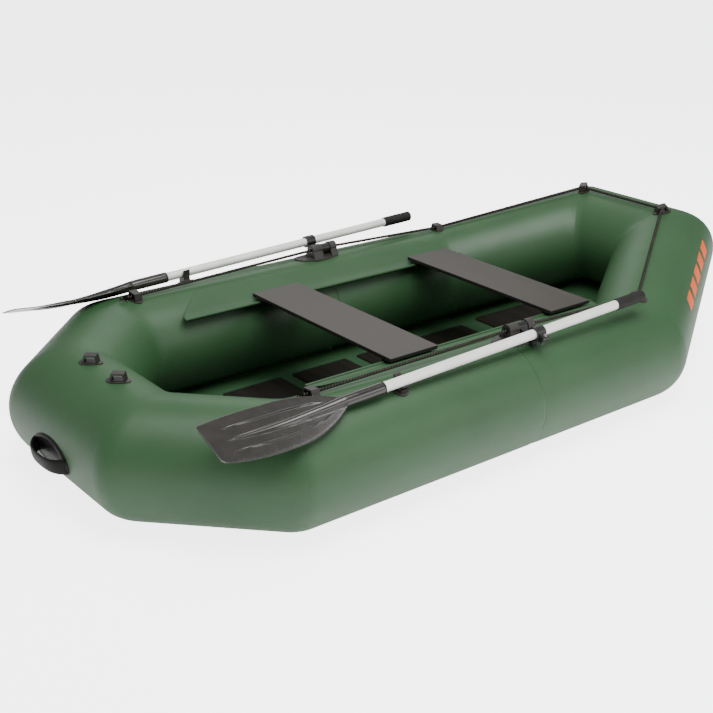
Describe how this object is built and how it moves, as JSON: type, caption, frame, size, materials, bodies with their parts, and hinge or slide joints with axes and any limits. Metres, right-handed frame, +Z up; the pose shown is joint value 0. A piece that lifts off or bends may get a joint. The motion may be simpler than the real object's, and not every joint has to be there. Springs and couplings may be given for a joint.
{
  "type": "inflatable rowing boat",
  "caption": "inflatable rowing boat with a raised bow, slatted floor, sliding plank seats, rowlocks, oars in clips and a lifeline",
  "frame": {"origin": "on the ground under the middle of the boat's length and width", "axes": "+X to the bow, +Y to port, +Z up"},
  "size_m": [2.6756, 1.343, 0.5386],
  "materials": {
    "green_fabric": "satin coated fabric",
    "dark_plywood": "satin dark film-faced plywood",
    "seat_board": "satin grey-brown plywood",
    "grey_plastic": "matte moulded plastic",
    "black_plastic": "glossy moulded plastic",
    "oar_tube": "satin anodised tube",
    "steel": "zinc plated steel",
    "black_rope": "twisted synthetic rope"
  },
  "bodies": {
    "hull": {"bow_quarter_panel_starboard": "green_fabric", "fore_side_panel_starboard": "green_fabric", "aft_side_panel_starboard": "green_fabric", "stern_quarter_panel_starboard": "green_fabric", "stern_centre_panel": "green_fabric", "stern_quarter_panel_port": "green_fabric", "aft_side_panel_port": "green_fabric", "fore_side_panel_port": "green_fabric", "bow_quarter_panel_port": "green_fabric", "bow_centre_panel": "green_fabric", "chamber_bulkheads": "green_fabric", "floor_sheet": "green_fabric", "floor_mat": "green_fabric", "floor_slat_1": "dark_plywood", "floor_slat_2": "dark_plywood", "floor_slat_3": "dark_plywood", "floor_slat_4": "dark_plywood", "floor_slat_5": "dark_plywood", "floor_slat_6": "dark_plywood", "seat_rail_port": "green_fabric", "rowlock_base_port": "grey_plastic", "rowlock_barrel_port": "grey_plastic", "oar_clip_port": "grey_plastic", "seat_rail_starboard": "green_fabric", "rowlock_base_starboard": "grey_plastic", "rowlock_barrel_starboard": "grey_plastic", "oar_clip_starboard": "grey_plastic", "valve_body_aft": "grey_plastic", "valve_spring_aft": "steel", "valve_body_fore": "grey_plastic", "valve_spring_fore": "steel", "rope_holders_stern": "grey_plastic", "rope_holders_aft": "grey_plastic", "rope_holders_fore": "grey_plastic", "rope_holders_bow": "grey_plastic", "lifeline": "black_rope", "oar_clip_fingers": "grey_plastic", "carry_handles": "black_plastic"},
    "rowlock_port": {"rowlock_swivel_port": "grey_plastic"},
    "oar_port": {"oar_shaft_port": "oar_tube", "oar_grip_port": "grey_plastic", "oar_blade_port": "black_plastic", "oar_collar_port": "grey_plastic", "collar_bolt_port": "steel"},
    "rowlock_starboard": {"rowlock_swivel_starboard": "grey_plastic"},
    "oar_starboard": {"oar_shaft_starboard": "oar_tube", "oar_grip_starboard": "grey_plastic", "oar_blade_starboard": "black_plastic", "oar_collar_starboard": "grey_plastic", "collar_bolt_starboard": "steel"},
    "seat_aft": {"seat_board_aft": "seat_board", "seat_tracks_aft": "black_plastic", "seat_screws_aft": "steel"},
    "valve_cap_aft": {"valve_cap_aft": "black_plastic"},
    "valve_plunger_aft": {"valve_plunger_aft": "black_plastic"},
    "seat_fore": {"seat_board_fore": "seat_board", "seat_tracks_fore": "black_plastic", "seat_screws_fore": "steel"},
    "valve_cap_fore": {"valve_cap_fore": "black_plastic"},
    "valve_plunger_fore": {"valve_plunger_fore": "black_plastic"}
  },
  "joints": [
    {"name": "seat_aft_slide", "type": "slide", "parent": "hull", "child": "seat_aft", "axis": [1, 0, 0], "range_m": [-0.2, 0.2]},
    {"name": "seat_fore_slide", "type": "slide", "parent": "hull", "child": "seat_fore", "axis": [1, 0, 0], "range_m": [-0.2, 0.04]},
    {"name": "rowlock_port_roll", "type": "hinge", "parent": "hull", "child": "rowlock_port", "pos_m": [0.02, 0.492, 0.383], "axis": [1, 0, 0], "range_deg": [0, 30]},
    {"name": "oar_port_swing", "type": "hinge", "parent": "rowlock_port", "child": "oar_port", "pos_m": [0.02, 0.57, 0.39], "axis": [0.0326, -0.3909, -0.9198], "range_deg": [0, 110], "deforming": ["oar_clip_fingers"]},
    {"name": "rowlock_starboard_roll", "type": "hinge", "parent": "hull", "child": "rowlock_starboard", "pos_m": [0.02, -0.492, 0.383], "axis": [-1, 0, 0], "range_deg": [0, 30]},
    {"name": "oar_starboard_swing", "type": "hinge", "parent": "rowlock_starboard", "child": "oar_starboard", "pos_m": [0.02, -0.57, 0.39], "axis": [-0.0326, -0.3909, 0.9198], "range_deg": [0, 110], "deforming": ["oar_clip_fingers"]},
    {"name": "valve_cap_aft_hinge", "type": "hinge", "parent": "hull", "child": "valve_cap_aft", "pos_m": [-0.715, -0.32381, 0.2552], "axis": [1, 0, 0], "range_deg": [0, 130]},
    {"name": "valve_plunger_aft_press", "type": "slide", "parent": "hull", "child": "valve_plunger_aft", "axis": [0, -0.9659, -0.2588], "range_m": [0, 0.004], "stiffness_N_per_m": 300, "springref_m": -0.004, "deforming": ["valve_spring_aft"]},
    {"name": "valve_cap_fore_hinge", "type": "hinge", "parent": "hull", "child": "valve_cap_fore", "pos_m": [0.5, -0.32381, 0.2552], "axis": [1, 0, 0], "range_deg": [0, 130]},
    {"name": "valve_plunger_fore_press", "type": "slide", "parent": "hull", "child": "valve_plunger_fore", "axis": [0, -0.9659, -0.2588], "range_m": [0, 0.004], "stiffness_N_per_m": 300, "springref_m": -0.004, "deforming": ["valve_spring_fore"]}
  ]
}
